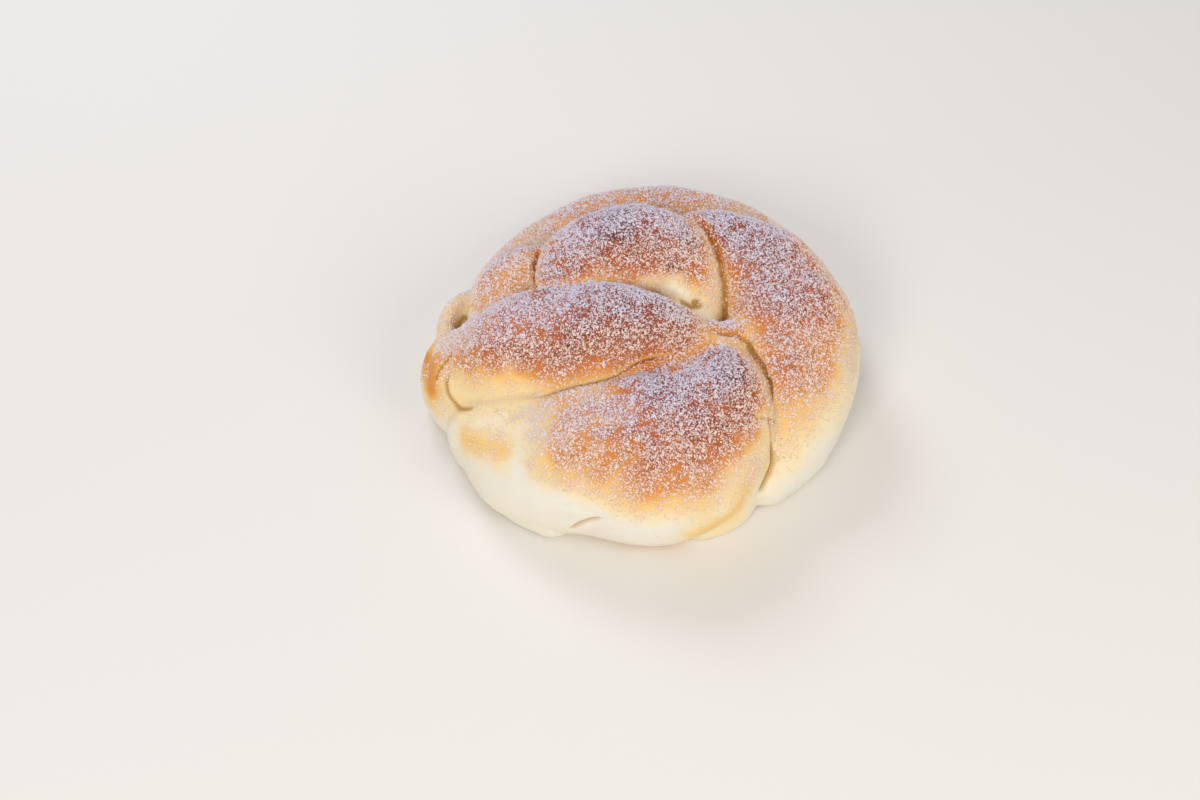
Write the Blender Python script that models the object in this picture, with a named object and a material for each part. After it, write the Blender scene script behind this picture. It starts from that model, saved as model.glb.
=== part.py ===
"""A knotted bun of soft wheat dough, baked in one piece and crusted with sugar.

The dough is a handful of thick strands laid over and under one another. Each strand is
swept along its own path with a section that swells and tapers, the strands are grown
together into one skin, the underside is cut flat where the bun sat on the baking tray,
and the largest sugar crystals are fused to the top.

Metres, +Z up. The bun stands on z = 0 with the middle of its box at the origin, and its
front, the broad front lobe, faces -Y.
"""

import math
import random

import bmesh
import bpy
import numpy as np
from mathutils import Euler, Matrix, Vector
from mathutils.bvhtree import BVHTree

MM = 0.001

# Each strand's path: x, y, z of the middle of its section, then the section's half width
# and half height, in millimetres, with the tray at z = 0.
STRANDS = {
    # the outer strand, round the back from left to right
    "back_rim": [
        (-49, 14, 11, 10, 14), (-45, 34, 12, 12, 16), (-33, 51, 13, 13, 17), (-12, 62, 14, 15, 19),
        (9, 65, 14, 15, 19), (29, 60, 14, 14, 18), (46, 46, 13, 13, 17), (56, 27, 12, 12, 16),
    ],
    # a short length that shows between the rim and the top lobe
    "left_tuck": [(-48, 13, 18, 8, 12), (-47, 21, 23, 9, 14), (-40, 29, 25, 11, 14), (-27, 35, 23, 11, 13)],
    # the outer strand again, at the left under the end of the middle band
    "left_end": [(-60, 16, 10, 8, 11), (-62, 7, 9, 9, 12), (-61, -3, 9, 9, 13), (-55, -9, 9, 9, 12)],
    # from behind the top lobe, down the right-hand side
    "right_arm": [
        (8, 42, 27, 11, 14), (23, 42, 25, 16, 19), (38, 31, 22, 20, 23), (48, 11, 19, 22, 24),
        (48, -11, 16, 18, 21), (44, -27, 12, 12, 16), (38, -35, 9, 9, 12),
    ],
    # the head of the knot, which arches over and curls down into the middle
    "top_lobe": [
        (-19, 12, 26, 15, 16), (-19, 25, 28, 18, 18), (-10, 34, 31, 19, 18), (2, 35, 31, 19, 18),
        (13, 27, 28, 15, 17), (16, 16, 24, 11, 14),
    ],
    # the broad front lobe
    "front_lobe": [
        (21, -5, 22, 13, 15), (22, -20, 21, 20, 21), (10, -34, 19, 27, 23), (-14, -34, 16, 25, 22),
        (-36, -28, 11, 21, 17), (-49, -18, 8, 13, 13),
    ],
    # the band across the middle
    "middle_band": [
        (32, 2, 21, 7, 13), (28, 2, 24, 8, 13), (20, 0, 25, 10, 14), (10, -1, 27, 13, 17),
        (-8, 1, 29, 19, 19), (-27, 1, 27, 21, 19), (-42, 1, 22, 19, 18), (-53, 1, 16, 16, 15),
    ],
    # where the band and the front lobe have baked into one
    "joint": [
        (20, -14, 24, 9, 14), (11, -17, 24, 10, 14), (1, -19, 22, 11, 13.5), (-10, -21, 20, 11, 13.5),
        (-24, -21, 19, 12, 13), (-38, -18, 16, 12, 12), (-50, -14, 11, 10, 11),
    ],
    # the tucked edge under the front lobe
    "front_fold": [(-41, -37, 5, 7, 8), (-35, -42, 5, 8, 8), (-28, -45, 5, 9, 8)],
    # the foot of the front lobe where it meets the arm
    "front_corner": [(32, -37, 10, 5, 13), (28, -43, 8, 6.5, 13), (17, -47, 6, 8, 12)],
    # the curled edge that stands up at the far left
    "nub": [(-63, 10, 18.5, 3, 6), (-63, 18, 21.5, 3, 5), (-59, 24, 23.5, 3, 5), (-53, 27, 22, 4, 5)],
    # what fills the bun under the strands
    "heart": [(-12, 8, 11, 54, 16), (0, 8, 12, 57, 18), (12, 8, 11, 54, 16)],
}
# Creases pressed into the skin where strands meet: points along each, then its half width,
# its depth and the way it is pressed, all in millimetres.
CREASES = {
    "slit beside the arm": (
        [(22, -1, 38), (30, -1, 36), (34, -3, 33), (37, -7, 31), (38, -14, 32), (39, -23, 33), (39, -31, 33)],
        2.0, 3, (0.55, 0.25, -0.8),
    ),
    "lobe over the arm": (
        [(37, -32, 33), (39, -36, 26), (40, -39, 21), (38, -43, 17), (36, -43, 10)],
        1.6, 2.2, (-0.5, 0.3, -0.8),
    ),
    "top lobe beside the arm": (
        [(17, 47, 42), (21, 41, 43), (24, 33, 42), (26, 27, 39), (27, 19, 35), (26, 12, 32), (24, 5, 36)],
        2.4, 3, (0.2, 0, -1),
    ),
    "tuck beside the top lobe": (
        [(-31, 38, 37), (-34, 30, 39), (-34, 22, 38), (-34, 14, 40)],
        1.8, 2.2, (0, 0, -1),
    ),
    "band over the lobe": (
        [
            (-34, -21, 28), (-27, -21, 31), (-18, -20, 34), (-8, -17, 36),
            (-1, -14, 39), (7, -13, 40), (12, -11, 40),
        ],
        1.6, 1.3, (0, 0.5, -0.8),
    ),
    "band's end over the left end": (
        [(-60, -6, 26), (-61, -9, 22), (-60, -13, 19), (-58, -15, 18), (-55, -17, 19), (-51, -18, 21)],
        1.6, 1.4, (0.6, 0.4, -0.5),
    ),
    "seam low on the front": (
        [(-23, -57, 8), (-19, -58, 14), (-16, -59, 17), (-12, -60, 19)],
        1.4, 1.6, (-0.3, 1, 0.2),
    ),
}
CREASE_STEP = 0.4  # mm, between the points of a crease
CREASE_END = 0.18  # of its length, over which a crease fades
# Dimples: middle, radius and depth in millimetres.
DIMPLES = {
    "curled end of the top lobe": ((14, 12, 38), 6, 1.6),
    "mound beside the pit": ((11.5, 16.5, 40.5), 4.2, -2.2),
    "pit": ((16, 12.5, 37), 2.4, 3.2),
    "hollow in the nub": ((-59, 18, 23), 4, 2.5),
}

SECTION_POWER = 2.3  # of the section's rounded square: 2 is an ellipse, more is squarer
STATIONS = 60
SECTION_POINTS = 44
CAP_RINGS = 9

SKIN_VOXEL = 1.0 * MM
SKIN_SMOOTHING = 4
SKIN_TRIANGLES = 7600

TRAY_HALF_SIDE = 120 * MM
TRAY_DEPTH = 40 * MM

CRYSTAL_SIDE = (1.3 * MM, 1.9 * MM)
CRYSTAL_SUNK = 0.2  # of a side, from its middle to the crust
SUGAR_SPIRAL_POINTS = 190
SUGAR_REACH = 70 * MM
SUGAR_LOWEST = 17 * MM
SUGAR_STEEPEST = 0.35  # least upward part of the crust's normal
SUGAR_SEED = 11
ABOVE_ALL = 200 * MM

CRUST_COLOUR = (0.72, 0.36, 0.12, 1)
CRUST_ROUGHNESS = 0.55


def clear_scene():
    for obj in list(bpy.data.objects):
        bpy.data.objects.remove(obj, do_unlink=True)


def spline(knots, count):
    """Rows at even spacing on a natural cubic spline through the knots."""
    knots = np.array(knots, float)
    steps = np.linalg.norm(np.diff(knots[:, :3], axis=0), axis=1)
    reached = np.concatenate([[0], np.cumsum(steps)])
    size = len(knots)
    left, right = np.eye(size), np.zeros_like(knots)
    for i in range(1, size - 1):
        left[i, i - 1 : i + 2] = steps[i - 1], 2 * (steps[i - 1] + steps[i]), steps[i]
        right[i] = 6 * ((knots[i + 1] - knots[i]) / steps[i] - (knots[i] - knots[i - 1]) / steps[i - 1])
    bend = np.linalg.solve(left, right)
    at = np.linspace(0, reached[-1], count)
    i = np.clip(np.searchsorted(reached, at, side="right") - 1, 0, size - 2)
    step = steps[i][:, None]
    past = (at - reached[i])[:, None]
    ahead = step - past
    return (
        (bend[i] * ahead**3 + bend[i + 1] * past**3) / (6 * step)
        + (knots[i] / step - bend[i] * step / 6) * ahead
        + (knots[i + 1] / step - bend[i + 1] * step / 6) * past
    )


def stations_of(knots):
    """(middle, direction, half width, half height) along a strand, its round ends included."""
    rows = spline(knots, STATIONS)
    directions = np.gradient(rows[:, :3], axis=0)
    directions /= np.linalg.norm(directions, axis=1)[:, None]
    body = [(row[:3], along, row[3], row[4]) for row, along in zip(rows, directions)]
    turns = [math.pi / 2 * ring / CAP_RINGS for ring in range(1, CAP_RINGS + 1)]

    def cap(station, sense):
        middle, along, width, height = station
        return [
            (
                middle + sense * along * width * math.sin(turn), along,
                width * math.cos(turn), height * math.cos(turn),
            )
            for turn in turns
        ]

    return cap(body[0], -1)[::-1] + body + cap(body[-1], 1)


def add_strand(mesh, knots):
    """A closed tube swept along the strand."""
    stations = stations_of(knots)
    turns = np.linspace(0, 2 * math.pi, SECTION_POINTS, endpoint=False)
    across, upward = (np.sign(f) * np.abs(f) ** (2 / SECTION_POWER) for f in (np.cos(turns), np.sin(turns)))
    rings = []
    for middle, along, width, height in stations[1:-1]:
        side = np.cross(along, (0, 0, 1))
        side /= np.linalg.norm(side)
        up = np.cross(side, along)
        points = middle + np.outer(across * width, side) + np.outer(upward * height, up)
        rings.append([mesh.verts.new(Vector(point) * MM) for point in points])
    faces = []
    for ring, following in zip(rings, rings[1:]):
        for i in range(SECTION_POINTS):
            j = (i + 1) % SECTION_POINTS
            faces.append(mesh.faces.new((ring[i], ring[j], following[j], following[i])))
    for ring, station in ((rings[0], stations[0]), (rings[-1], stations[-1])):
        tip = mesh.verts.new(Vector(station[0]) * MM)
        for i in range(SECTION_POINTS):
            faces.append(mesh.faces.new((ring[i], ring[(i + 1) % SECTION_POINTS], tip)))
    bmesh.ops.recalc_face_normals(mesh, faces=faces)


def new_object(name, mesh):
    """An object in the scene that holds this bmesh."""
    data = bpy.data.meshes.new(name)
    mesh.to_mesh(data)
    mesh.free()
    obj = bpy.data.objects.new(name, data)
    bpy.context.scene.collection.objects.link(obj)
    return obj


def joined_strands():
    """All the strands as one object, still separate tubes that run through one another."""
    mesh = bmesh.new()
    for knots in STRANDS.values():
        add_strand(mesh, knots)
    return new_object("bun", mesh)


def apply_modifiers(obj):
    bpy.context.view_layer.update()
    evaluated = obj.evaluated_get(bpy.context.evaluated_depsgraph_get())
    data = bpy.data.meshes.new_from_object(evaluated)
    obj.modifiers.clear()
    obj.data = data


def keep_outer_skin(obj):
    """Only the largest connected surface stays: sealed hollows are filled and loose scraps dropped."""
    mesh = bmesh.new()
    mesh.from_mesh(obj.data)
    unseen = set(mesh.faces)
    skins = []
    while unseen:
        skin = {unseen.pop()}
        edge_of_skin = list(skin)
        while edge_of_skin:
            face = edge_of_skin.pop()
            beside = {other for edge in face.edges for other in edge.link_faces} & unseen
            unseen -= beside
            skin |= beside
            edge_of_skin.extend(beside)
        skins.append(skin)
    largest = max(skins, key=len)
    spare = [face for skin in skins if skin is not largest for face in skin]
    bmesh.ops.delete(mesh, geom=spare, context="FACES")
    mesh.to_mesh(obj.data)
    mesh.free()


def smoothstep(low, high, value):
    share = np.clip((value - low) / (high - low), 0, 1)
    return share * share * (3 - 2 * share)


def path_on(surface, knots):
    """Points along a curve through the knots, each moved to the nearest place on the surface."""
    length = np.linalg.norm(np.diff(np.array(knots, float), axis=0), axis=1).sum()
    path = spline(knots, int(length / CREASE_STEP) + 2)
    return np.array([surface.find_nearest(Vector(point) * MM)[0] for point in path]) / MM


def press_creases(bun):
    """Presses the creases and dimples into the skin."""
    surface = BVHTree.FromObject(bun, bpy.context.evaluated_depsgraph_get())
    points = np.array([vertex.co[:] for vertex in bun.data.vertices]) / MM
    for knots, half_width, depth, way in CREASES.values():
        path = path_on(surface, knots)
        low, high = path.min(axis=0) - half_width, path.max(axis=0) + half_width
        near = np.flatnonzero(((points > low) & (points < high)).all(axis=1))
        gaps = np.linalg.norm(points[near][:, None] - path[None], axis=2)
        along = gaps.argmin(axis=1) / (len(path) - 1)
        ends = smoothstep(0, CREASE_END, along) * smoothstep(1, 1 - CREASE_END, along)
        groove = depth * ends * (1 - smoothstep(0, 1, gaps.min(axis=1) / half_width))
        points[near] += groove[:, None] * np.array(way) / np.linalg.norm(way)
    for middle, radius, depth in DIMPLES.values():
        apart = np.linalg.norm(points - middle, axis=1)
        points[:, 2] -= depth * (1 - smoothstep(0, 1, apart / radius))
    bun.data.vertices.foreach_set("co", (points * MM).ravel())
    bun.data.update()


def grow_together(bun):
    """One skin over all the strands, creased, then thinned to a modest number of triangles."""
    skin = bun.modifiers.new("one skin", "REMESH")
    skin.mode = "VOXEL"
    skin.voxel_size = SKIN_VOXEL
    soft = bun.modifiers.new("soft creases", "SMOOTH")
    soft.factor = 0.5
    soft.iterations = SKIN_SMOOTHING
    apply_modifiers(bun)
    keep_outer_skin(bun)
    press_creases(bun)
    thin = bun.modifiers.new("fewer faces", "DECIMATE")
    thin.ratio = SKIN_TRIANGLES / (2 * len(bun.data.polygons))
    apply_modifiers(bun)


def cut_base(bun):
    """The underside is flat where the bun sat on the tray, a slab whose top is z = 0."""
    mesh = bmesh.new()
    slab = Matrix.Diagonal((2 * TRAY_HALF_SIDE, 2 * TRAY_HALF_SIDE, TRAY_DEPTH, 1))
    bmesh.ops.create_cube(mesh, size=1, matrix=Matrix.Translation((0, 0, -TRAY_DEPTH / 2)) @ slab)
    tray = new_object("tray", mesh)
    tray.hide_render = True
    tray.display_type = "WIRE"
    flat = bun.modifiers.new("flat base", "BOOLEAN")
    flat.object = tray
    flat.operation = "DIFFERENCE"
    apply_modifiers(bun)
    bpy.data.objects.remove(tray)
    keep_outer_skin(bun)


def centre_on_origin(bun):
    corners = np.array([corner[:] for corner in bun.bound_box])
    x, y, _ = (corners.min(axis=0) + corners.max(axis=0)) / 2
    bun.data.transform(Matrix.Translation((-x, -y, 0)))


def sugar_spots(bun):
    """Points and normals of the crust for the large crystals, spread evenly by the golden angle."""
    surface = BVHTree.FromObject(bun, bpy.context.evaluated_depsgraph_get())
    golden = math.pi * (3 - math.sqrt(5))
    for i in range(SUGAR_SPIRAL_POINTS):
        reach = SUGAR_REACH * math.sqrt((i + 0.5) / SUGAR_SPIRAL_POINTS)
        start = Vector((reach * math.cos(i * golden), reach * math.sin(i * golden), ABOVE_ALL))
        point, normal, _, _ = surface.ray_cast(start, Vector((0, 0, -1)))
        if point is not None and point.z > SUGAR_LOWEST and normal.z > SUGAR_STEEPEST:
            yield point, normal


def sugar_crystals(bun):
    """The large crystals, each a small block turned at random and part sunk in the crust."""
    draw = random.Random(SUGAR_SEED)
    group = bpy.data.collections.new("crystals")
    bpy.context.scene.collection.children.link(group)
    for i, (point, normal) in enumerate(sugar_spots(bun)):
        side = draw.uniform(*CRYSTAL_SIDE)
        turn = Euler([draw.uniform(0, math.pi) for _ in range(3)]).to_matrix().to_4x4()
        place = Matrix.Translation(point + normal * side * CRYSTAL_SUNK)
        mesh = bmesh.new()
        bmesh.ops.create_cube(mesh, size=side, matrix=place @ turn)
        crystal = new_object(f"crystal_{i}", mesh)
        bpy.context.scene.collection.objects.unlink(crystal)
        group.objects.link(crystal)
    return group


def fuse(bun, group):
    """One union joins the crystals to the crust, and the collection's objects are then removed."""
    join = bun.modifiers.new("crystals", "BOOLEAN")
    join.operand_type = "COLLECTION"
    join.collection = group
    join.operation = "UNION"
    apply_modifiers(bun)
    for crystal in list(group.objects):
        bpy.data.objects.remove(crystal)
    bpy.data.collections.remove(group)
    keep_outer_skin(bun)


def crust_material():
    crust = bpy.data.materials.new("crust")
    crust.use_nodes = True
    shader = crust.node_tree.nodes["Principled BSDF"]
    shader.inputs["Base Color"].default_value = CRUST_COLOUR
    shader.inputs["Roughness"].default_value = CRUST_ROUGHNESS
    shader.inputs["Metallic"].default_value = 0
    return crust


def main():
    clear_scene()
    bun = joined_strands()
    grow_together(bun)
    cut_base(bun)
    centre_on_origin(bun)
    fuse(bun, sugar_crystals(bun))
    bun.data.materials.clear()
    bun.data.materials.append(crust_material())


main()
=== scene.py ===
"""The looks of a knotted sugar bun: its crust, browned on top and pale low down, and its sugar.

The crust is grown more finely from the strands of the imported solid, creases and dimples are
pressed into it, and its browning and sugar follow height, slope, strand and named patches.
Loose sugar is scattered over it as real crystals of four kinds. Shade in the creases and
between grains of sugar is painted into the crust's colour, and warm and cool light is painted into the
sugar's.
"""

import math

import bmesh
import bpy
import numpy as np
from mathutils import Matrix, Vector
from mathutils.bvhtree import BVHTree


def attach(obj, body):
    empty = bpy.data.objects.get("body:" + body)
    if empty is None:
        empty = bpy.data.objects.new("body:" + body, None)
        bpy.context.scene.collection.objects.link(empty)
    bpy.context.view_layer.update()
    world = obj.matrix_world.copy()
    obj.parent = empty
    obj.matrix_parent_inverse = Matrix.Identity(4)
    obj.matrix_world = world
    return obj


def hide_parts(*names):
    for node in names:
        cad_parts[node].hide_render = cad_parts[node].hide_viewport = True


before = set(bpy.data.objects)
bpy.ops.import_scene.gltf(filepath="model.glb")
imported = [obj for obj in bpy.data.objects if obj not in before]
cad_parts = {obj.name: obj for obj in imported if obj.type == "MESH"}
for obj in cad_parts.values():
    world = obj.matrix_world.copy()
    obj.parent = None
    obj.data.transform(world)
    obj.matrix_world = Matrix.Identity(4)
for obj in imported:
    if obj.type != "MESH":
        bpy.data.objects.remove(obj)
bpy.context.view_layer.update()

MM = 0.001

# Each strand's path: x, y, z of the middle of its section, then the section's half width
# and half height, in millimetres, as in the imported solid.
STRANDS = {
    "back_rim": [
        (-49, 14, 11, 10, 14), (-45, 34, 12, 12, 16), (-33, 51, 13, 13, 17), (-12, 62, 14, 15, 19),
        (9, 65, 14, 15, 19), (29, 60, 14, 14, 18), (46, 46, 13, 13, 17), (56, 27, 12, 12, 16),
    ],
    "left_tuck": [(-48, 13, 18, 8, 12), (-47, 21, 23, 9, 14), (-40, 29, 25, 11, 14), (-27, 35, 23, 11, 13)],
    "left_end": [(-60, 16, 10, 8, 11), (-62, 7, 9, 9, 12), (-61, -3, 9, 9, 13), (-55, -9, 9, 9, 12)],
    "right_arm": [
        (8, 42, 27, 11, 14), (23, 42, 25, 16, 19), (38, 31, 22, 20, 23), (48, 11, 19, 22, 24),
        (48, -11, 16, 18, 21), (44, -27, 12, 12, 16), (38, -35, 9, 9, 12),
    ],
    "top_lobe": [
        (-19, 12, 26, 15, 16), (-19, 25, 28, 18, 18), (-10, 34, 31, 19, 18), (2, 35, 31, 19, 18),
        (13, 27, 28, 15, 17), (16, 16, 24, 11, 14),
    ],
    "front_lobe": [
        (21, -5, 22, 13, 15), (22, -20, 21, 20, 21), (10, -34, 19, 27, 23), (-14, -34, 16, 25, 22),
        (-36, -28, 11, 21, 17), (-49, -18, 8, 13, 13),
    ],
    "middle_band": [
        (32, 2, 21, 7, 13), (28, 2, 24, 8, 13), (20, 0, 25, 10, 14), (10, -1, 27, 13, 17),
        (-8, 1, 29, 19, 19), (-27, 1, 27, 21, 19), (-42, 1, 22, 19, 18), (-53, 1, 16, 16, 15),
    ],
    "joint": [
        (20, -14, 24, 9, 14), (11, -17, 24, 10, 14), (1, -19, 22, 11, 13.5), (-10, -21, 20, 11, 13.5),
        (-24, -21, 19, 12, 13), (-38, -18, 16, 12, 12), (-50, -14, 11, 10, 11),
    ],
    "front_fold": [(-41, -37, 5, 7, 8), (-35, -42, 5, 8, 8), (-28, -45, 5, 9, 8)],
    "front_corner": [(32, -37, 10, 5, 13), (28, -43, 8, 6.5, 13), (17, -47, 6, 8, 12)],
    "nub": [(-63, 10, 18.5, 3, 6), (-63, 18, 21.5, 3, 5), (-59, 24, 23.5, 3, 5), (-53, 27, 22, 4, 5)],
    "heart": [(-12, 8, 11, 54, 16), (0, 8, 12, 57, 18), (12, 8, 11, 54, 16)],
}
WITHIN = ("joint", "heart", "front_fold", "front_corner")  # strands without a crease round them
SECTION_POWER = 2.3  # of the superellipse that each section is: 2 would be an ellipse
STATIONS = 60
SECTION_POINTS = 44
CAP_RINGS = 9
STATION_SLACK = 1  # mm that a point may lie along a strand from the nearest station
STRAND_BLEND = 0.8  # mm over which one strand's looks pass into the next one's
CREASE_REACH = 2.0  # mm from where two strands meet, over which the crease between them fades

SKIN_VOXEL = 0.9 * MM
SMOOTHING_ROUNDS, SMOOTHING_FACTOR = 4, 0.5
RIM_SOFTNESS = 0.5  # mm, of the edge round the flat underside

# Creases pressed into the crust: points along each, its half width and its depth, in
# millimetres in the strands' frame, and the way it is pressed. A depth below 0 is a mound.
CREASES = {
    "slit beside the arm": (
        [
            (16, -0.5, 39.5), (22, -1, 38), (30, -1, 36), (34, -3, 33), (37, -7, 31), (38, -14, 32),
            (39, -23, 33), (39, -31, 33),
        ],
        2.0, 2.8, (0.55, 0.25, -0.8),
    ),
    "lobe over the arm": (
        [(37, -32, 33), (39, -36, 26), (40, -39, 21), (38, -43, 17), (36, -43, 10)],
        1.3, 2.2, (-0.5, 0.3, -0.8),
    ),
    "step at the slit's end": ([(34, -34.5, 36), (37, -32, 33), (41, -29, 28)], 0.9, 1.3, (0, -0.3, -1)),
    "top lobe beside the arm": (
        [(17, 47, 42), (21, 41, 43), (24, 33, 42), (26, 27, 39), (27, 19, 35), (26, 12, 32), (24, 5, 36)],
        2.4, 3, (0.2, 0, -1),
    ),
    "tuck beside the top lobe": (
        [(-31, 38, 37), (-34, 30, 39), (-34, 22, 38), (-34, 14, 40)],
        1.6, 2.2, (0, 0, -1),
    ),
    "mound on the curled end": ([(10.5, 16, 40.5), (13, 14.5, 39.5)], 3.4, -1.5, (-0.2, 0.8, -0.6)),
    "curl of the top lobe": (
        [(11.5, 13.5, 38.5), (13.5, 12.5, 38), (17, 11.5, 37), (19.5, 12.5, 36.5)],
        1.2, 1.5, (-0.2, 0.8, -0.6),
    ),
    "pit": ([(15.5, 12.5, 37.5), (18, 12.5, 37)], 2.2, 1.8, (-0.2, 0.8, -0.6)),
    "inside of the nub": ([(-62, 14, 22), (-59, 19, 22), (-55, 23, 24)], 3.2, 0.8, (0, 0, -1)),
    "band over the lobe": (
        [
            (-34, -21, 28), (-27, -21, 31), (-18, -20, 34), (-8, -17, 36), (-1, -14, 39), (7, -13, 40),
            (12, -11, 40),
        ],
        1.1, 1.1, (0, 0.5, -0.8),
    ),
    "band's end over the left end": (
        [(-60, -6, 26), (-61, -9, 22), (-60, -13, 19), (-58, -15, 18), (-55, -17, 19), (-51, -18, 21)],
        1.6, 0.8, (0.6, 0.4, -0.5),
    ),
    "streak": ([(-59, -1, 30), (-61, -3, 28), (-64, -5, 24), (-65, -7, 20)], 1.4, 0.5, (1, 0.2, -0.5)),
    "seam low on the front": (
        [(-23, -57, 8), (-19, -58, 14), (-16, -59, 17), (-12, -60, 19)],
        1.0, 1.6, (-0.3, 1, 0.2),
    ),
    "crack": ([(20, -31, 42), (20.3, -32.5, 42), (20, -34, 42)], 0.6, 0.9, (0, 0, -1)),
}
# Dimples: middle, radius, depth in millimetres.
DIMPLES = {
    "curled end of the top lobe": ((14, 12, 38), 6, 1.6),
    "hollow in the nub": ((-59, 18, 23), 4, 2.5),
}
PATH_STEP = 0.4  # mm between the points of a path laid on the crust
CREASE_FADE = 0.18  # share of a crease's length over which each of its ends fades
END_DEPTH = 0.25  # share of its depth that its ends keep
SPLIT_REACH = 2.2  # half widths of a crease within which the crust's faces are split
FAR = 1e3  # mm, given for points out of a path's reach

# How each strand browns: the height where it starts and the height where it is brownest, in
# millimetres above the tray, how brown it gets, from 0, raw dough, to 1, the darkest crust, and
# by how much these heights fall for each millimetre towards +X.
BROWNING = {
    "back_rim": (8, 46, 0.8, 0), "left_tuck": (12, 46, 0.78, 0), "left_end": (4, 40, 0.6, 0),
    "right_arm": (12, 52, 0.95, 0), "top_lobe": (22, 52, 0.95, 0), "front_lobe": (17, 48, 0.95, 0.14),
    "middle_band": (5, 54, 0.94, 0), "joint": (17, 50, 0.9, 0.08), "front_fold": (17, 50, 0.6, 0),
    "front_corner": (-30, 30, 0.45, 0), "nub": (14, 50, 0.4, 0), "heart": (14, 48, 0.8, 0),
}
BROWNING_POWER = 1.15  # of the share of the way up, so that the crust browns a little late
RIGHT_PALER, CREASE_PALER = 0.5, 0.3  # shares by which the right side and the creases brown less
UNDERSIDE_BROWN = 0.5

# Sugar: the way that it falls from, the way that the painted cool light on it comes from, and shares of it.
SUGAR_FROM = (-0.25, 0.25, 0.93)
PAINTED_COOL_LIGHT_FROM = (-0.3, 0.45, 0.84)
SUGAR_LEVEL, SUGAR_LEAST, SUGAR_MOST = 0.8, 0.15, 1.3  # its mean before patchiness, and its limits
STEEP_SUGAR = 0.6  # what stays on a slope that faces away
PALE_SUGAR = 0.01  # what stays on raw dough
PALE_PAINTED_COOL_LIGHT = 0.5  # how much of the painted cool light stays on pale crust
CREASE_SUGAR_LOSS, FOLD_SUGAR_LOSS = 0.3, 0.85
PAINTED_CREASE_SHADE = 0.15  # how much of a pressed fold's painted shade the creases between strands get

# The values between which a share rises from 0 to 1: of the crust's normal, of how far that
# normal faces where sugar falls from or where the painted cool light comes from, of the height in
# millimetres, or of browning.
UP_FACING = (-0.9, 0.75)
RIGHT_FACING = (0.35, 0.85)
UNDER_FACING = (-0.6, -0.9)
SUGAR_HOLDS = (-0.6, -0.1)
SUGAR_GATHERS = (0, 0.9)
SUGAR_HEIGHT = (11, 20)
SUGAR_BROWNING = (0.06, 0.26)
PAINTED_COOL_LIGHT_FACING = (0.5, 0.95)
PAINTED_COOL_LIGHT_BROWNING = (0.3, 0.65)

# Unevenness, in rows: how much, how wide its bumps are in millimetres, and its seed.
CRUST_BUMPS = ((0.4, 14, 1), (0.13, 5, 2), (0.045, 1.8, 3))  # mm
BROWNING_WANDER = ((2.5, 12, 4), (1.0, 4, 5))  # mm of height
UNDERSIDE_WANDER = ((0.05, 6, 6),)
SUGAR_WANDER = ((2, 8, 7),)  # mm of height
SUGAR_PATCHINESS = ((0.25, 6, 8), (0.3, 1.6, 9))
PATCH_WANDER = ((0.3, 4, 10),)

# Places whose browning and sugar differ from their surroundings: points along each, its
# reach in millimetres, how brown it is there, and by how much its sugar is multiplied.
PATCHES = {
    "curled end of the top lobe": (
        [(2, 18, 40), (8, 16, 39), (15, 13, 37), (22, 12, 35)],
        4.2, 0.15, 3.0,
    ),
    "mound": ([(10, 16, 40.5), (13.5, 14.5, 39.5)], 3.2, 0.02, 0.05),
    "tuck": ([(-46, 18, 35), (-40, 26, 38), (-34, 32, 38)], 8, 0.45, 1.6),
    "strip below the pit": ([(11, 10, 38), (16, 9, 37), (21, 9, 34)], 3, 0.07, 0.1),
    "foot of the lobe beside the arm": (
        [(32, -49, 24), (30, -52, 17), (27, -54, 12), (22, -57, 11), (17, -59, 11)],
        6, 0.27, 0.8,
    ),
    "under the arm": ([(22, -3, 38), (29, -4, 37), (33, -7, 35), (36, -14, 35), (37, -24, 35)], 2, 0.34, 0.8),
    "left end": ([(-69, 9, 17), (-68, 5, 19), (-66, -2, 21), (-67, -6, 18)], 6, 0.5, 0.0),
    "nub": ([(-66, 10, 22), (-65, 15, 26), (-61, 22, 27), (-55, 27, 27)], 4, 0.2, 2.0),
    "sugar pile": ([(-66, 6, 24), (-62, 4, 28)], 4, 0.35, 2.5),
    "band's tip": ([(-58, -12, 22), (-55, -15, 22)], 5, 0.15, 0.1),
    "left end of the lobe": ([(-54, -17, 19), (-40, -20, 27)], 8, 0.16, 0.3),
    "front of the lobe, low": ([(-50, -26, 8), (-38, -45, 8), (-20, -56, 8)], 9, 0.02, 0.0),
    "golden patch": ([(-55, -28, 18), (-50, -33, 21), (-43, -38, 24)], 4.5, 0.3, 0.3),
    "orange line": ([(51, 31, 42), (57, 23, 41), (62, 17, 39), (65, 12, 37)], 1.3, 0.55, 0.4),
    "edge of the lobe beside the arm": ([(36, -34, 34), (38, -38, 26), (38, -42, 20)], 2, 0.16, 0.2),
}
PATCH_REACHES = 3  # reaches of a patch, past which it has no effect
PATCH_LEAST = 0.4  # the least that unevenness leaves of how fast a patch fades

# The camera's place in millimetres from the middle of the bun's box, and how far down it looks.
CAMERA_AT = (-12.7, -461.2, 517.9)
CAMERA_DOWN = math.radians(48.6)
CAMERA_LENS, CAMERA_SENSOR = 63, 36


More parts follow.
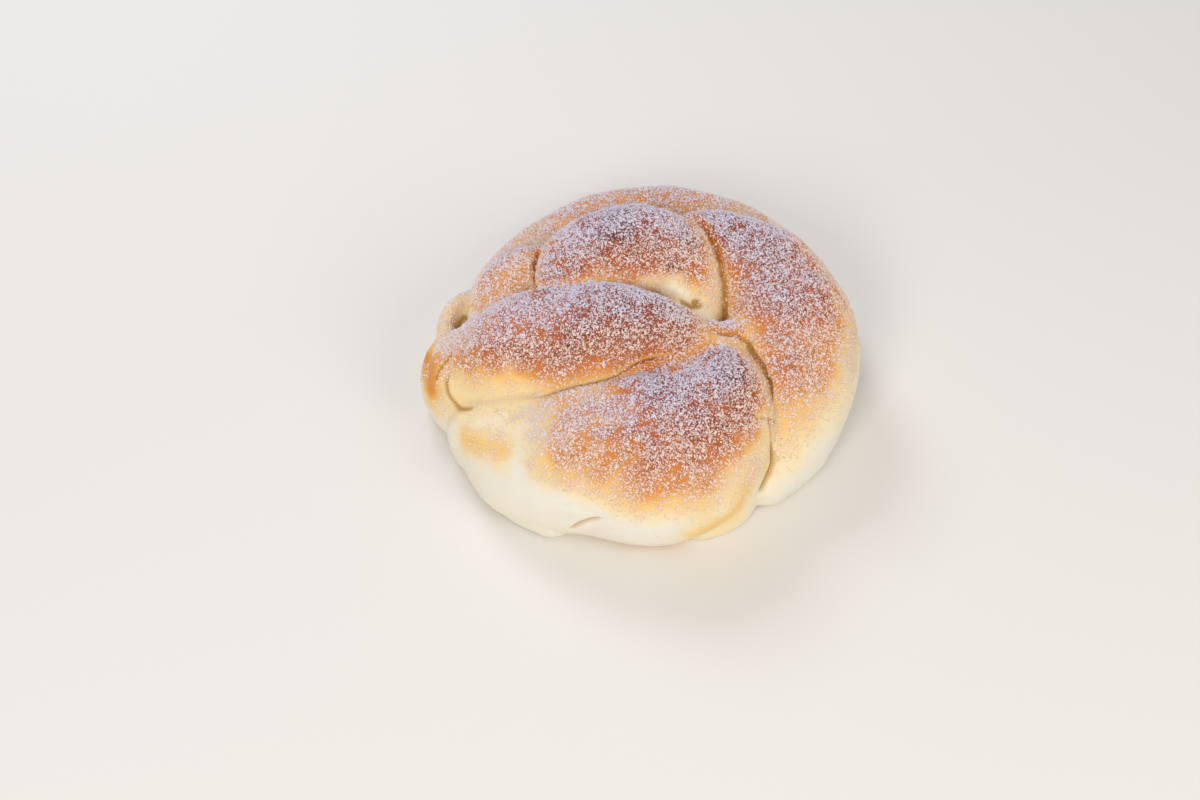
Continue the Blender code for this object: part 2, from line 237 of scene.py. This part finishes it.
def spline(knots, count):
    """Rows at even spacing on a natural cubic spline through the knots."""
    knots = np.array(knots, float)
    steps = np.linalg.norm(np.diff(knots[:, :3], axis=0), axis=1)
    reached = np.concatenate([[0], np.cumsum(steps)])
    size = len(knots)
    left, right = np.eye(size), np.zeros_like(knots)
    for i in range(1, size - 1):
        left[i, i - 1 : i + 2] = steps[i - 1], 2 * (steps[i - 1] + steps[i]), steps[i]
        right[i] = 6 * ((knots[i + 1] - knots[i]) / steps[i] - (knots[i] - knots[i - 1]) / steps[i - 1])
    bend = np.linalg.solve(left, right)
    at = np.linspace(0, reached[-1], count)
    i = np.clip(np.searchsorted(reached, at, side="right") - 1, 0, size - 2)
    step = steps[i][:, None]
    past = (at - reached[i])[:, None]
    ahead = step - past
    return (
        (bend[i] * ahead**3 + bend[i + 1] * past**3) / (6 * step)
        + (knots[i] / step - bend[i] * step / 6) * ahead
        + (knots[i + 1] / step - bend[i + 1] * step / 6) * past
    )


def stations_of(knots):
    """(middle, direction, half width, half height) along a strand, its round ends included."""
    rows = spline(knots, STATIONS)
    directions = np.gradient(rows[:, :3], axis=0)
    directions /= np.linalg.norm(directions, axis=1)[:, None]
    body = [(row[:3], along, row[3], row[4]) for row, along in zip(rows, directions)]
    turns = [math.pi / 2 * ring / CAP_RINGS for ring in range(1, CAP_RINGS + 1)]

    def cap(station, sense):
        middle, along, width, height = station
        reach = sense * along * width
        return [
            (middle + reach * math.sin(turn), along, *(np.cos(turn) * np.array([width, height])))
            for turn in turns
        ]

    return cap(body[0], -1)[::-1] + body + cap(body[-1], 1)


def section_axes(along):
    side = np.cross(along, (0, 0, 1))
    side /= np.linalg.norm(side)
    return side, np.cross(side, along)


def add_strand(mesh, knots):
    """A closed tube swept along the strand."""
    stations = stations_of(knots)
    turns = np.linspace(0, 2 * math.pi, SECTION_POINTS, endpoint=False)
    across, upward = (np.sign(f) * np.abs(f) ** (2 / SECTION_POWER) for f in (np.cos(turns), np.sin(turns)))
    rings = []
    for middle, along, width, height in stations[1:-1]:
        side, up = section_axes(along)
        points = middle + np.outer(across * width, side) + np.outer(upward * height, up)
        rings.append([mesh.verts.new(Vector(point) * MM) for point in points])
    faces = []
    for ring, following in zip(rings, rings[1:]):
        for i in range(SECTION_POINTS):
            j = (i + 1) % SECTION_POINTS
            faces.append(mesh.faces.new((ring[i], ring[j], following[j], following[i])))
    for ring, station in ((rings[0], stations[0]), (rings[-1], stations[-1])):
        tip = mesh.verts.new(Vector(station[0]) * MM)
        for i in range(SECTION_POINTS):
            faces.append(mesh.faces.new((ring[i], ring[(i + 1) % SECTION_POINTS], tip)))
    bmesh.ops.recalc_face_normals(mesh, faces=faces)


def grown_skin():
    """One fine skin over all the strands."""
    mesh = bmesh.new()
    for knots in STRANDS.values():
        add_strand(mesh, knots)
    data = bpy.data.meshes.new("crust")
    mesh.to_mesh(data)
    mesh.free()
    crust = bpy.data.objects.new("crust", data)
    bpy.context.scene.collection.objects.link(crust)
    skin = crust.modifiers.new("one skin", "REMESH")
    skin.mode = "VOXEL"
    skin.voxel_size = SKIN_VOXEL
    soft = crust.modifiers.new("soft creases", "SMOOTH")
    soft.factor = SMOOTHING_FACTOR
    soft.iterations = SMOOTHING_ROUNDS
    evaluated = crust.evaluated_get(bpy.context.evaluated_depsgraph_get())
    crust.data = bpy.data.meshes.new_from_object(evaluated)
    crust.modifiers.clear()
    keep_outer_skin(crust)
    return crust


def keep_outer_skin(obj):
    """Only the largest connected surface stays."""
    mesh = bmesh.new()
    mesh.from_mesh(obj.data)
    unseen = set(mesh.faces)
    skins = []
    while unseen:
        skin = {unseen.pop()}
        edge_of_skin = list(skin)
        while edge_of_skin:
            face = edge_of_skin.pop()
            beside = {other for edge in face.edges for other in edge.link_faces} & unseen
            unseen -= beside
            skin |= beside
            edge_of_skin.extend(beside)
        skins.append(skin)
    largest = max(skins, key=len)
    spare = [face for skin in skins if skin is not largest for face in skin]
    bmesh.ops.delete(mesh, geom=spare, context="FACES")
    mesh.to_mesh(obj.data)
    mesh.free()


def smoothstep(low, high, value):
    share = np.clip((value - low) / (high - low), 0, 1)
    return share * share * (3 - 2 * share)


def ripple(points, size, seed, waves=48):
    """Smooth noise about 0, most of it within 1 either way, whose bumps are about size across."""
    draw = np.random.default_rng(seed)
    directions = draw.normal(size=(3, waves))
    directions /= np.linalg.norm(directions, axis=0)
    lengths = 2 * size * draw.uniform(0.7, 1.4, waves)
    phases = draw.uniform(0, 2 * math.pi, waves)
    return np.sin(points @ (directions * 2 * math.pi / lengths) + phases).sum(axis=1) / math.sqrt(waves)


def ripples(points, rows, level=0):
    """The level, with every row's ripple added to it."""
    return sum((much * ripple(points, size, seed) for much, size, seed in rows), level)


def points_of(mesh):
    """The mesh's points in millimetres."""
    points = np.empty(len(mesh.vertices) * 3, np.float32)
    mesh.vertices.foreach_get("co", points)
    return points.reshape(-1, 3) / MM


def normals_of(mesh):
    normals = np.empty(len(mesh.vertices) * 3, np.float32)
    mesh.vertex_normals.foreach_get("vector", normals)
    return normals.reshape(-1, 3)


def move_points(mesh, points):
    mesh.vertices.foreach_set("co", (points * MM).astype(np.float32).ravel())
    mesh.update()


def path_on(tree, knots):
    """Points along a curve through the knots, each moved to the nearest crust."""
    length = np.linalg.norm(np.diff(np.array(knots, float), axis=0), axis=1).sum()
    path = spline(knots, int(length / PATH_STEP) + 2)
    return np.array([tree.find_nearest(Vector(point) * MM)[0] for point in path]) / MM


def apart_from(path, points, reach):
    """How far each point within reach is from the path, and where along it, from 0 to 1."""
    distance = np.full(len(points), FAR)
    along = np.zeros(len(points))
    low, high = path.min(axis=0) - reach, path.max(axis=0) + reach
    near = np.flatnonzero(((points > low) & (points < high)).all(axis=1))
    gaps = np.linalg.norm(points[near][:, None] - path[None], axis=2)
    distance[near] = gaps.min(axis=1)
    along[near] = gaps.argmin(axis=1) / (len(path) - 1)
    return distance, along


def surface_tree(obj):
    mesh = bmesh.new()
    mesh.from_mesh(obj.data)
    tree = BVHTree.FromBMesh(mesh)
    mesh.free()
    return tree


def split_near(obj, paths):
    """Splits the faces near the paths in four, so that narrow grooves come out clean."""
    points = points_of(obj.data)
    near = np.zeros(len(points), bool)
    for path, reach in paths:
        near |= apart_from(path, points, reach)[0] < reach
    mesh = bmesh.new()
    mesh.from_mesh(obj.data)
    edges = [edge for edge in mesh.edges if all(near[vertex.index] for vertex in edge.verts)]
    bmesh.ops.subdivide_edges(mesh, edges=edges, cuts=1, use_grid_fill=True)
    bmesh.ops.triangulate(mesh, faces=[face for face in mesh.faces if len(face.verts) > 4])
    mesh.to_mesh(obj.data)
    mesh.free()


def press_creases(crust):
    """Presses the creases and dimples, and returns how deep in a crease each point is, 0 to 1."""
    tree = surface_tree(crust)
    paths = {name: path_on(tree, knots) for name, (knots, *_) in CREASES.items()}
    split_near(crust, [(paths[name], SPLIT_REACH * CREASES[name][1]) for name in CREASES])
    points = points_of(crust.data)
    fold = np.zeros(len(points))
    for name, (_, half_width, depth, way) in CREASES.items():
        distance, along = apart_from(paths[name], points, half_width)
        ends = smoothstep(0, CREASE_FADE, along) * smoothstep(1, 1 - CREASE_FADE, along)
        way = np.array(way) / np.linalg.norm(way)
        groove = depth * (END_DEPTH + (1 - END_DEPTH) * ends) * (1 - smoothstep(0, 1, distance / half_width))
        points += groove[:, None] * way
        if depth > 0:
            fold = np.maximum(fold, ends * (1 - smoothstep(0, 1, distance / half_width)))
    for middle, radius, depth in DIMPLES.values():
        distance = np.linalg.norm(points - middle, axis=1)
        points[:, 2] -= depth * (1 - smoothstep(0, 1, distance / radius))
    move_points(crust.data, points)
    return fold


def strand_distances(points):
    """How far outside each strand each point lies, in millimetres: one column a strand."""
    columns = []
    for knots in STRANDS.values():
        stations = stations_of(knots)[1:-1]
        middles, alongs, widths, heights = (np.array(part) for part in zip(*stations))
        sides, ups = (np.array(part) for part in zip(*map(section_axes, alongs)))
        gaps = (points**2).sum(1)[:, None] + (middles**2).sum(1)[None] - 2 * points @ middles.T
        nearest = gaps.argmin(axis=1)
        offset = points - middles[nearest]
        across = np.abs((offset * sides[nearest]).sum(1)) / widths[nearest]
        upward = np.abs((offset * ups[nearest]).sum(1)) / heights[nearest]
        beyond = np.abs((offset * alongs[nearest]).sum(1)) - STATION_SLACK
        section = (across**SECTION_POWER + upward**SECTION_POWER) ** (1 / SECTION_POWER)
        columns.append(np.maximum((section - 1) * np.minimum(widths, heights)[nearest], beyond))
    return np.stack(columns, axis=1)


def strand_shares(points):
    """How much each point belongs to each strand, and how near it lies to a crease between two."""
    apart = strand_distances(points)
    share = np.exp(-(apart - apart.min(axis=1)[:, None]) / STRAND_BLEND)
    share /= share.sum(axis=1)[:, None]
    outer = [i for i, name in enumerate(STRANDS) if name not in WITHIN]
    second = np.clip(np.sort(apart[:, outer], axis=1)[:, 1], 0, None)
    return share, np.exp(-((second / CREASE_REACH) ** 2))


def roughen(crust, crease):
    """Gives the dough its slight unevenness, less in the creases."""
    points = points_of(crust.data)
    bumps = ripples(points, CRUST_BUMPS)
    points += normals_of(crust.data) * (bumps * (1 - crease))[:, None]
    move_points(crust.data, points)


def flatten_base(crust):
    """What lies under the tray's top moves up to it, with a soft edge."""
    points = points_of(crust.data)
    height = points[:, 2]
    points[:, 2] = (height + np.sqrt(height**2 + 4 * RIM_SOFTNESS**2)) / 2
    points[:, 2] -= points[:, 2].min()
    move_points(crust.data, points)


def centre(crust):
    points = points_of(crust.data)
    middle = (points.min(axis=0) + points.max(axis=0)) / 2
    points[:, :2] -= middle[:2]
    move_points(crust.data, points)


def add_attribute(mesh, name, values):
    attribute = mesh.attributes.new(name, "FLOAT", "POINT")
    attribute.data.foreach_set("value", values.astype(np.float32))


def browning(points, normals, share, crease):
    """From 0, raw dough, to 1, the darkest crust."""
    uneven = ripples(points, BROWNING_WANDER)
    brown = 0
    for column, (pale, brownest, most, lean) in zip(share.T, (BROWNING[name] for name in STRANDS)):
        high = np.clip((points[:, 2] + uneven + lean * points[:, 0] - pale) / (brownest - pale), 0, 1)
        brown = brown + column * most * high**BROWNING_POWER
    up = smoothstep(*UP_FACING, normals[:, 2])
    right = smoothstep(*RIGHT_FACING, normals[:, 0])
    brown *= up * (1 - RIGHT_PALER * right) * (1 - CREASE_PALER * crease)
    under = smoothstep(*UNDER_FACING, normals[:, 2])
    return np.maximum(brown, ripples(points, UNDERSIDE_WANDER, UNDERSIDE_BROWN) * under)


def sugaring(points, normals, crease):
    """How thickly sugar lies, from 0 to 1: most on what faces up and to the back left."""
    facing = normals @ np.array(SUGAR_FROM)
    low = smoothstep(*SUGAR_HEIGHT, points[:, 2] + ripples(points, SUGAR_WANDER))
    patchy = np.clip(ripples(points, SUGAR_PATCHINESS, SUGAR_LEVEL), SUGAR_LEAST, SUGAR_MOST)
    gathers = STEEP_SUGAR + (1 - STEEP_SUGAR) * smoothstep(*SUGAR_GATHERS, facing)
    slope = smoothstep(*SUGAR_HOLDS, facing) * gathers
    return np.clip(slope * low * (1 - CREASE_SUGAR_LOSS * crease) * patchy, 0, 1)


def painted_cool_light(normals):
    """Painted light on the sugar: from 0, where it is tinted warm as in the key light, to 1 on what faces up
    and back, where it is tinted cool as in the back light.
    """
    return smoothstep(*PAINTED_COOL_LIGHT_FACING, normals @ np.array(PAINTED_COOL_LIGHT_FROM))


def apply_patches(tree, points, brown, sugar):
    for knots, reach, brown_there, sugar_left in PATCHES.values():
        distance, _ = apart_from(path_on(tree, knots), points, PATCH_REACHES * reach)
        wander = ripples(points, PATCH_WANDER, 1)
        hold = np.exp(-np.clip(wander, PATCH_LEAST, None) * (distance / reach) ** 2)
        brown += hold * (brown_there - brown)
        sugar *= 1 - hold * (1 - sugar_left)
    return np.clip(brown, 0, 1), np.clip(sugar, 0, 1)


def srgb(red, green, blue):
    """A colour as a screen shows it, from 0 to 255, in linear light."""

    def linear(level):
        return level / 255 / 12.92 if level < 10 else ((level / 255 + 0.055) / 1.055) ** 2.4

    return linear(red), linear(green), linear(blue), 1


# The crust's colour at each browning.
CRUST_TONES = [
    (0.0, srgb(236, 230, 215)),
    (0.14, srgb(242, 220, 172)),
    (0.3, srgb(246, 201, 120)),
    (0.45, srgb(230, 156, 66)),
    (0.62, srgb(206, 114, 46)),
    (0.8, srgb(168, 78, 38)),
    (1.0, srgb(112, 50, 38)),
]
PAINTED_FOLD_SHADE = (0.64, 0.44, 0.18, 1)  # painted shade: what the crust's colour is multiplied by deep in a crease
PAINTED_GAP_SHADE = (0.4, 0.33, 0.44, 1)  # and, as painted shade, between grains of sugar
DUST_TONE = srgb(222, 200, 206)
DUST_COVER, DUST_IN_PAINTED_WARM_LIGHT = 0.35, 0.4  # the most that dust covers, and its share where the painted light on the sugar is warm
# The crystals' white in painted warm light, on what faces the front, and in painted cool light, on what faces
# up and back.
SUGAR_IN_PAINTED_WARM_LIGHT, SUGAR_IN_PAINTED_COOL_LIGHT = srgb(255, 234, 222), srgb(240, 238, 255)
SUGAR_WHITENESS = (0.6, 1.0)  # of the clearest and the whitest crystals; the rest is the crust's colour
FLOOR_TONE = srgb(232, 228, 222)

# Noise in the crust's material: its scale and detail.
BLOTCHES, PORES, DUST, GAPS = (160, 5), (900, 3), (2200, 2), (1800, 1)
BLOTCH_STRENGTH, BLOTCH_FLOOR = 0.25, 0.1  # how far blotches shift the browning, and where it is 0
DUST_RANGE, GAP_RANGE = (0.5, 0.62), (0.42, 0.58)  # values of the noise between which each sets in
GAP_BROWNING = (0.3, 0.7)  # browning between which the painted shade between grains sets in
CRUST_ROUGHNESS = (0.42, 0.62)
PORE_STRENGTH, PORE_DEPTH = 0.35, 0.3 * MM

# Each light's place, size and power, in metres and watts, and its colour.
LIGHTS = {
    "key": ((-0.3, -0.78, 0.6), 0.35, 4.2, (1.0, 0.96, 0.9)),
    "fill": ((0.6, -0.45, 0.55), 0.5, 2.6, (1.0, 0.96, 0.9)),
    "back": ((-0.35, 0.6, 0.65), 0.4, 3.4, (0.87, 0.9, 1.0)),
}
LIT_POINT = (0, 0, 0.02)
SKY_COLOUR, SKY_STRENGTH = (0.94, 0.96, 1.0, 1), 0.45
FLOOR_HALF = 3  # m


class Nodes:
    """Short ways to add and join the nodes of one material."""

    def __init__(self, name):
        self.material = bpy.data.materials.new(name)
        self.material.use_nodes = True
        self.tree = self.material.node_tree
        self.shader = self.tree.nodes["Principled BSDF"]

    def feed(self, socket, value):
        if isinstance(value, bpy.types.NodeSocket):
            self.tree.links.new(value, socket)
        else:
            socket.default_value = value

    def add(self, kind, inputs=(), **settings):
        node = self.tree.nodes.new("ShaderNode" + kind)
        for name, value in settings.items():
            setattr(node, name, value)
        for socket, value in dict(inputs).items():
            self.feed(node.inputs[socket], value)
        return node

    def attribute(self, name):
        return self.add("Attribute", attribute_name=name).outputs["Fac"]

    def noise(self, scale, detail):
        place = self.add("TexCoord").outputs["Object"]
        return self.add("TexNoise", {"Vector": place, "Scale": scale, "Detail": detail}).outputs["Fac"]

    def ramp(self, factor, stops):
        node = self.add("ValToRGB", {"Fac": factor})
        elements = node.color_ramp.elements
        while len(elements) < len(stops):
            elements.new(0.5)
        for element, (position, colour) in zip(elements, stops):
            element.position = position
            element.color = colour
        return node.outputs["Color"]

    def math(self, operation, first, second=0.0):
        return self.add("Math", {0: first, 1: second}, operation=operation).outputs[0]

    def scaled(self, value, low, high):
        """Low where the value is 0, and high where it is 1."""
        return self.add("MapRange", {"Value": value, "To Min": low, "To Max": high}).outputs["Result"]

    def between(self, value, low, high):
        """0 where the value is low, and 1 where it is high."""
        return self.add("MapRange", {"Value": value, "From Min": low, "From Max": high}).outputs["Result"]

    def mix(self, factor, first, second, blend_type="MIX"):
        node = self.add("Mix", data_type="RGBA", blend_type=blend_type)
        for socket, value in ((0, factor), (6, first), (7, second)):
            self.feed(node.inputs[socket], value)
        return node.outputs[2]


def crust_material():
    nodes = Nodes("crust")
    brown, sugar = nodes.attribute("brown"), nodes.attribute("sugar")
    blotches, pores = nodes.noise(*BLOTCHES), nodes.noise(*PORES)
    wander = nodes.math("MULTIPLY", nodes.math("SUBTRACT", blotches, 0.5), BLOTCH_STRENGTH)
    heat = nodes.math("ADD", brown, nodes.math("MULTIPLY", wander, nodes.math("ADD", brown, BLOTCH_FLOOR)))
    colour = nodes.ramp(heat, CRUST_TONES)
    dust = nodes.between(nodes.noise(*DUST), *DUST_RANGE)
    cover = nodes.math("MULTIPLY", nodes.math("MULTIPLY", dust, sugar), DUST_COVER)
    # Dust shows more where the painted cool light falls: partly sugar dust, partly a painted cool sheen.
    cover = nodes.math("MULTIPLY", cover, nodes.scaled(nodes.attribute("painted_cool_light"), DUST_IN_PAINTED_WARM_LIGHT, 1.0))
    colour = nodes.mix(cover, colour, DUST_TONE)
    # Painted shade between grains of sugar: dark specks of noise under the sugar, on browned crust.
    gaps = nodes.between(nodes.noise(*GAPS), *GAP_RANGE)
    gaps = nodes.math("MULTIPLY", nodes.math("MULTIPLY", gaps, sugar), nodes.between(brown, *GAP_BROWNING))
    colour = nodes.mix(gaps, colour, nodes.mix(1.0, colour, PAINTED_GAP_SHADE, blend_type="MULTIPLY"))
    # Painted shade deep in the creases.
    shade = nodes.mix(nodes.attribute("fold"), (1, 1, 1, 1), PAINTED_FOLD_SHADE)
    nodes.feed(nodes.shader.inputs["Base Color"], nodes.mix(1.0, colour, shade, blend_type="MULTIPLY"))
    nodes.feed(nodes.shader.inputs["Roughness"], nodes.scaled(pores, *CRUST_ROUGHNESS))
    bump = nodes.add("Bump", {"Height": pores, "Strength": PORE_STRENGTH, "Distance": PORE_DEPTH})
    nodes.feed(nodes.shader.inputs["Normal"], bump.outputs["Normal"])
    nodes.shader.inputs["Subsurface Weight"].default_value = 0.2
    nodes.shader.inputs["Subsurface Radius"].default_value = (1.0, 0.55, 0.3)
    nodes.shader.inputs["Subsurface Scale"].default_value = 0.003
    nodes.shader.inputs["Specular IOR Level"].default_value = 0.35
    return nodes.material


def sugar_material():
    """Clear crystals: each lets some of the crust's colour through."""
    nodes = Nodes("sugar")
    below = nodes.ramp(nodes.attribute("brown"), CRUST_TONES)
    # Painted light: the white is tinted warm on what faces the front and cool on what faces up and back.
    white = nodes.mix(nodes.attribute("painted_cool_light"), SUGAR_IN_PAINTED_WARM_LIGHT, SUGAR_IN_PAINTED_COOL_LIGHT)
    whiteness = nodes.scaled(nodes.attribute("tint"), *SUGAR_WHITENESS)
    nodes.feed(nodes.shader.inputs["Base Color"], nodes.mix(whiteness, below, white))
    nodes.shader.inputs["Roughness"].default_value = 0.12
    nodes.shader.inputs["IOR"].default_value = 1.54
    return nodes.material


BLOCK_POINTS = np.array([(x, y, z) for x in (-1, 1) for y in (-1, 1) for z in (-1, 1)], float) / 2
BLOCK_FACES = np.array([
    (0, 1, 3), (0, 3, 2), (4, 6, 7), (4, 7, 5), (0, 4, 5), (0, 5, 1),
    (2, 3, 7), (2, 7, 6), (0, 2, 6), (0, 6, 4), (1, 5, 7), (1, 7, 3),
])
GRAIN_POINTS = np.array([(1, 0, 0), (-1, 0, 0), (0, 1, 0), (0, -1, 0), (0, 0, 1), (0, 0, -1)], float) / 2
GRAIN_FACES = np.array([
    (0, 2, 4), (2, 1, 4), (1, 3, 4), (3, 0, 4), (2, 0, 5), (1, 2, 5), (3, 1, 5), (0, 3, 5),
])
CHIP_POINTS = np.array([(1, 1, 1), (1, -1, -1), (-1, 1, -1), (-1, -1, 1)], float) / 2
CHIP_FACES = np.array([(0, 1, 2), (0, 3, 1), (0, 2, 3), (1, 3, 2)])
BLOCK, GRAIN, CHIP = (BLOCK_POINTS, BLOCK_FACES), (GRAIN_POINTS, GRAIN_FACES), (CHIP_POINTS, CHIP_FACES)

# Each kind of sugar: the form and number of its crystals, the range of their sides in
# millimetres, the range of their tint, from 0, clearest, to 1, whitest, and the seed.
SUGAR_KINDS = {
    "sugar_dust": (CHIP, 45000, (0.3, 0.46), (0, 1), 21),
    "sugar_fine": (GRAIN, 24000, (0.36, 0.5), (0.2, 1), 22),
    "sugar_grains": (BLOCK, 14000, (0.34, 0.46), (0.3, 1), 23),
    "sugar_crystals": (BLOCK, 5000, (0.46, 0.62), (0.6, 1), 24),
}
CRYSTAL_STRETCH = (0.7, 1.15)
CRYSTAL_LIFT = 0.2  # of its side, from the crust to a crystal's middle


def turned(draw, points):
    """Each crystal's points turned at random: (crystals, points, 3)."""
    quaternion = draw.normal(size=(len(points), 4))
    w, x, y, z = (quaternion / np.linalg.norm(quaternion, axis=1)[:, None]).T
    turn = np.array([
        [1 - 2 * (y * y + z * z), 2 * (x * y - z * w), 2 * (x * z + y * w)],
        [2 * (x * y + z * w), 1 - 2 * (x * x + z * z), 2 * (y * z - x * w)],
        [2 * (x * z - y * w), 2 * (y * z + x * w), 1 - 2 * (x * x + y * y)],
    ])
    return np.einsum("ijn,npj->npi", turn, points)


def stored(mesh, name):
    """The values of one of the mesh's attributes."""
    values = np.empty(len(mesh.vertices), np.float32)
    mesh.attributes[name].data.foreach_get("value", values)
    return values


def spots(draw, crust, weights, count):
    """Points of the crust and its normals, browning and painted cool light there, more where the weights are
    high.
    """
    mesh = crust.data
    mesh.calc_loop_triangles()
    corners = np.empty(len(mesh.loop_triangles) * 3, np.int32)
    mesh.loop_triangles.foreach_get("vertices", corners)
    corners = corners.reshape(-1, 3)
    points, normals = points_of(mesh), normals_of(mesh)
    brown, painted_cool = stored(mesh, "brown"), stored(mesh, "painted_cool_light")
    a, b, c = (points[corners[:, i]] for i in range(3))
    areas = np.linalg.norm(np.cross(b - a, c - a), axis=1) / 2
    chance = areas * weights[corners].mean(axis=1)
    chosen = corners[draw.choice(len(corners), count, p=chance / chance.sum())]
    mix = draw.dirichlet((1, 1, 1), count)
    where = (points[chosen] * mix[:, :, None]).sum(axis=1)
    facing = (normals[chosen] * mix[:, :, None]).sum(axis=1)
    facing /= np.linalg.norm(facing, axis=1)[:, None]
    return where, facing, brown[chosen].mean(axis=1), painted_cool[chosen].mean(axis=1)


def crystals(name, crust, weights):
    """Crystals of one kind over the crust, as one mesh."""
    (form_points, form_faces), count, sides, tints, seed = SUGAR_KINDS[name]
    draw = np.random.default_rng(seed)
    where, facing, brown, painted_cool = spots(draw, crust, weights, count)
    side = draw.uniform(*sides, count)
    stretch = draw.uniform(*CRYSTAL_STRETCH, (count, 1, 3)) * side[:, None, None]
    middles = where + facing * (side * CRYSTAL_LIFT)[:, None]
    points = turned(draw, form_points[None] * stretch) + middles[:, None]
    mesh = bpy.data.meshes.new(name)
    mesh.vertices.add(count * len(form_points))
    mesh.vertices.foreach_set("co", (points * MM).astype(np.float32).ravel())
    corners = (form_faces[None] + (np.arange(count) * len(form_points))[:, None, None]).reshape(-1, 3)
    mesh.loops.add(corners.size)
    mesh.loops.foreach_set("vertex_index", corners.astype(np.int32).ravel())
    mesh.polygons.add(len(corners))
    mesh.polygons.foreach_set("loop_start", np.arange(0, corners.size, 3, dtype=np.int32))
    mesh.polygons.foreach_set("loop_total", np.full(len(corners), 3, np.int32))
    mesh.update(calc_edges=True)
    add_attribute(mesh, "tint", np.repeat(draw.uniform(*tints, count), len(form_points)))
    add_attribute(mesh, "brown", np.repeat(brown, len(form_points)))
    add_attribute(mesh, "painted_cool_light", np.repeat(painted_cool, len(form_points)))
    obj = bpy.data.objects.new(name, mesh)
    bpy.context.scene.collection.objects.link(obj)
    return obj


def dress_crust():
    """The crust, with its looks stored on its points, and how thickly sugar lies on each point."""
    crust = grown_skin()
    fold = press_creases(crust)
    share, crease = strand_shares(points_of(crust.data))
    roughen(crust, crease)
    points, normals = points_of(crust.data), normals_of(crust.data)
    brown, sugar = browning(points, normals, share, crease), sugaring(points, normals, crease)
    brown, sugar = apply_patches(surface_tree(crust), points, brown, sugar)
    sticks = PALE_SUGAR + (1 - PALE_SUGAR) * smoothstep(*SUGAR_BROWNING, brown)
    sugar *= (1 - FOLD_SUGAR_LOSS * fold) * sticks
    # Painted cool light on the sugar, weaker on pale crust.
    painted_cool = painted_cool_light(normals) * (PALE_PAINTED_COOL_LIGHT + (1 - PALE_PAINTED_COOL_LIGHT) * smoothstep(*PAINTED_COOL_LIGHT_BROWNING, brown))
    add_attribute(crust.data, "brown", brown)
    add_attribute(crust.data, "sugar", sugar)
    add_attribute(crust.data, "painted_cool_light", painted_cool)
    # The painted shade in the creases: full in pressed folds, lighter between strands.
    add_attribute(crust.data, "fold", np.maximum(fold, PAINTED_CREASE_SHADE * crease))
    flatten_base(crust)
    centre(crust)
    crust.data.shade_smooth()
    crust.data.materials.clear()
    crust.data.materials.append(crust_material())
    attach(crust, "root")
    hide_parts("bun")
    return crust, sugar


def scatter_sugar(crust, sugar):
    material = sugar_material()
    for name in SUGAR_KINDS:
        piece = crystals(name, crust, sugar)
        piece.data.materials.append(material)
        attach(piece, "root")


def add_floor():
    mesh = bmesh.new()
    bmesh.ops.create_grid(mesh, x_segments=1, y_segments=1, size=FLOOR_HALF)
    data = bpy.data.meshes.new("floor")
    mesh.to_mesh(data)
    mesh.free()
    floor = bpy.data.objects.new("floor", data)
    bpy.context.scene.collection.objects.link(floor)
    nodes = Nodes("floor")
    nodes.shader.inputs["Base Color"].default_value = FLOOR_TONE
    nodes.shader.inputs["Roughness"].default_value = 0.7
    data.materials.append(nodes.material)


def add_light(name, place, size, power, colour):
    """A soft square light that looks at the bun."""
    light = bpy.data.lights.new(name, "AREA")
    light.size = size
    light.energy = power
    light.color = colour
    lamp = bpy.data.objects.new(name, light)
    bpy.context.scene.collection.objects.link(lamp)
    lamp.location = place
    lamp.rotation_euler = (Vector(LIT_POINT) - lamp.location).to_track_quat("-Z", "Y").to_euler()


def add_studio():
    world = bpy.data.worlds.new("studio")
    world.use_nodes = True
    world.node_tree.nodes["Background"].inputs["Color"].default_value = SKY_COLOUR
    world.node_tree.nodes["Background"].inputs["Strength"].default_value = SKY_STRENGTH
    bpy.context.scene.world = world
    for name, light in LIGHTS.items():
        add_light(name, *light)


def add_camera():
    camera = bpy.data.objects.new("camera", bpy.data.cameras.new("camera"))
    bpy.context.scene.collection.objects.link(camera)
    camera.data.lens = CAMERA_LENS
    camera.data.sensor_width = CAMERA_SENSOR
    camera.data.clip_start = 0.01
    camera.location = Vector(CAMERA_AT) * MM
    camera.rotation_euler = (math.pi / 2 - CAMERA_DOWN, 0, 0)
    bpy.context.scene.camera = camera


add_camera()
add_studio()
add_floor()
crust, sugar = dress_crust()
scatter_sugar(crust, sugar)
bpy.context.scene.view_settings.view_transform = "Standard"
